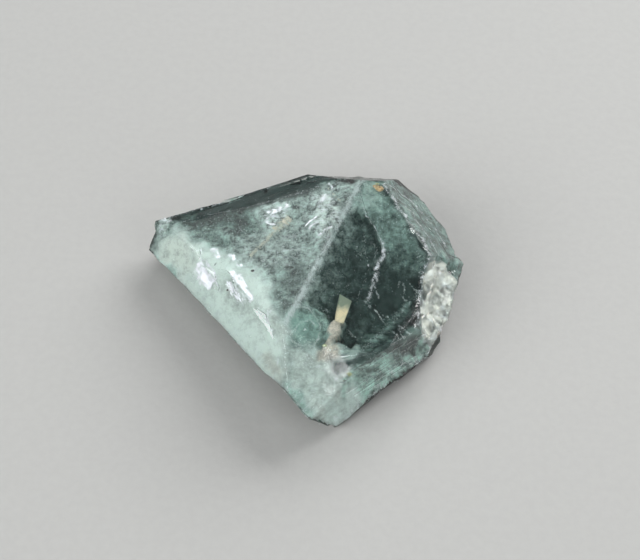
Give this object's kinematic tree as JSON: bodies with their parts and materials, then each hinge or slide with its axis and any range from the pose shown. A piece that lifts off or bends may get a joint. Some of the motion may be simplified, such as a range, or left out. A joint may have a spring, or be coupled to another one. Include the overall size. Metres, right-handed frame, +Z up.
{
  "type": "phosphophyllite crystal",
  "caption": "Broken, pale sea-green phosphophyllite crystal: a clear wedge with two flat top faces and rough fracture sides, lying on a flat cleavage face.",
  "frame": {"origin": "middle of the footprint, on the surface that the crystal rests on", "axes": "+Z up out of that surface, +X along the crystal's length from its thin pointed end to its thick rounded end, +Y away from its front tip"},
  "size_m": [0.0164, 0.0138, 0.0054],
  "materials": {
    "phosphophyllite": "clear pale sea-green crystal with a glassy lustre, index of refraction about 1.6, milky where it is full of healed cracks and frosted on its fresh fractures"
  },
  "bodies": {
    "root": {"phosphophyllite_crystal": "phosphophyllite"}
  },
  "joints": []
}
